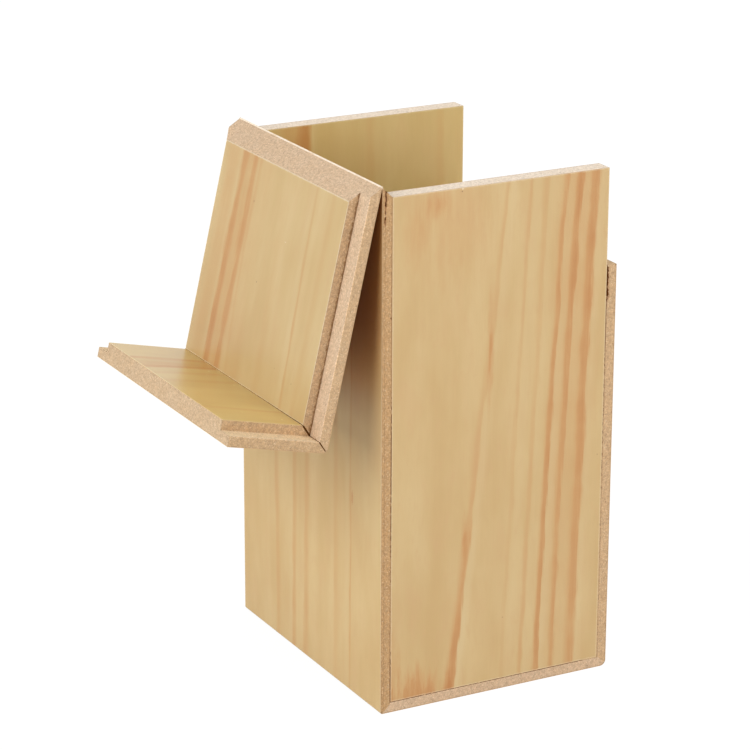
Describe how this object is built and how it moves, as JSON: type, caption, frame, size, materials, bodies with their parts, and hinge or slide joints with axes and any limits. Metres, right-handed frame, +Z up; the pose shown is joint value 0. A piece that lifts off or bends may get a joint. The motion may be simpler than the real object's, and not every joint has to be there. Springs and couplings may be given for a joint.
{
  "type": "wooden gift box",
  "caption": "Tall gift box folded from one strip of wood-grain laminated board, open low front, flip-over lid with a front flap on a film hinge.",
  "frame": {"origin": "centre of the case's underside", "axes": "+Z up; +Y towards the hinge and the open lid, -Y towards the low front; X across the box from side board to side board"},
  "size_m": [0.1366, 0.1892, 0.2406],
  "materials": {
    "fibreboard": "matte",
    "film_outside": "satin",
    "film_inside": "satin"
  },
  "bodies": {
    "case": {"back_board": "fibreboard", "bottom_board": "fibreboard", "front_board": "fibreboard", "side_board_left": "fibreboard", "side_board_right": "fibreboard", "back_film_outer": "film_outside", "bottom_film_outer": "film_outside", "front_film_outer": "film_outside", "back_film_inner": "film_inside", "bottom_film_inner": "film_inside", "front_film_inner": "film_inside", "side_film_left_outer": "film_outside", "side_film_left_inner": "film_inside", "side_film_right_outer": "film_outside", "side_film_right_inner": "film_inside", "hinge_fold": "film_outside"},
    "lid": {"lid_board": "fibreboard", "flap_board": "fibreboard", "lid_film_outer": "film_outside", "lid_film_inner": "film_inside", "flap_film_inner": "film_inside"}
  },
  "joints": [
    {"name": "lid_hinge", "type": "hinge", "parent": "case", "child": "lid", "pos_m": [0, 0.05825, 0.24], "axis": [-1, 0, 0], "range_deg": [-257, 0]}
  ]
}
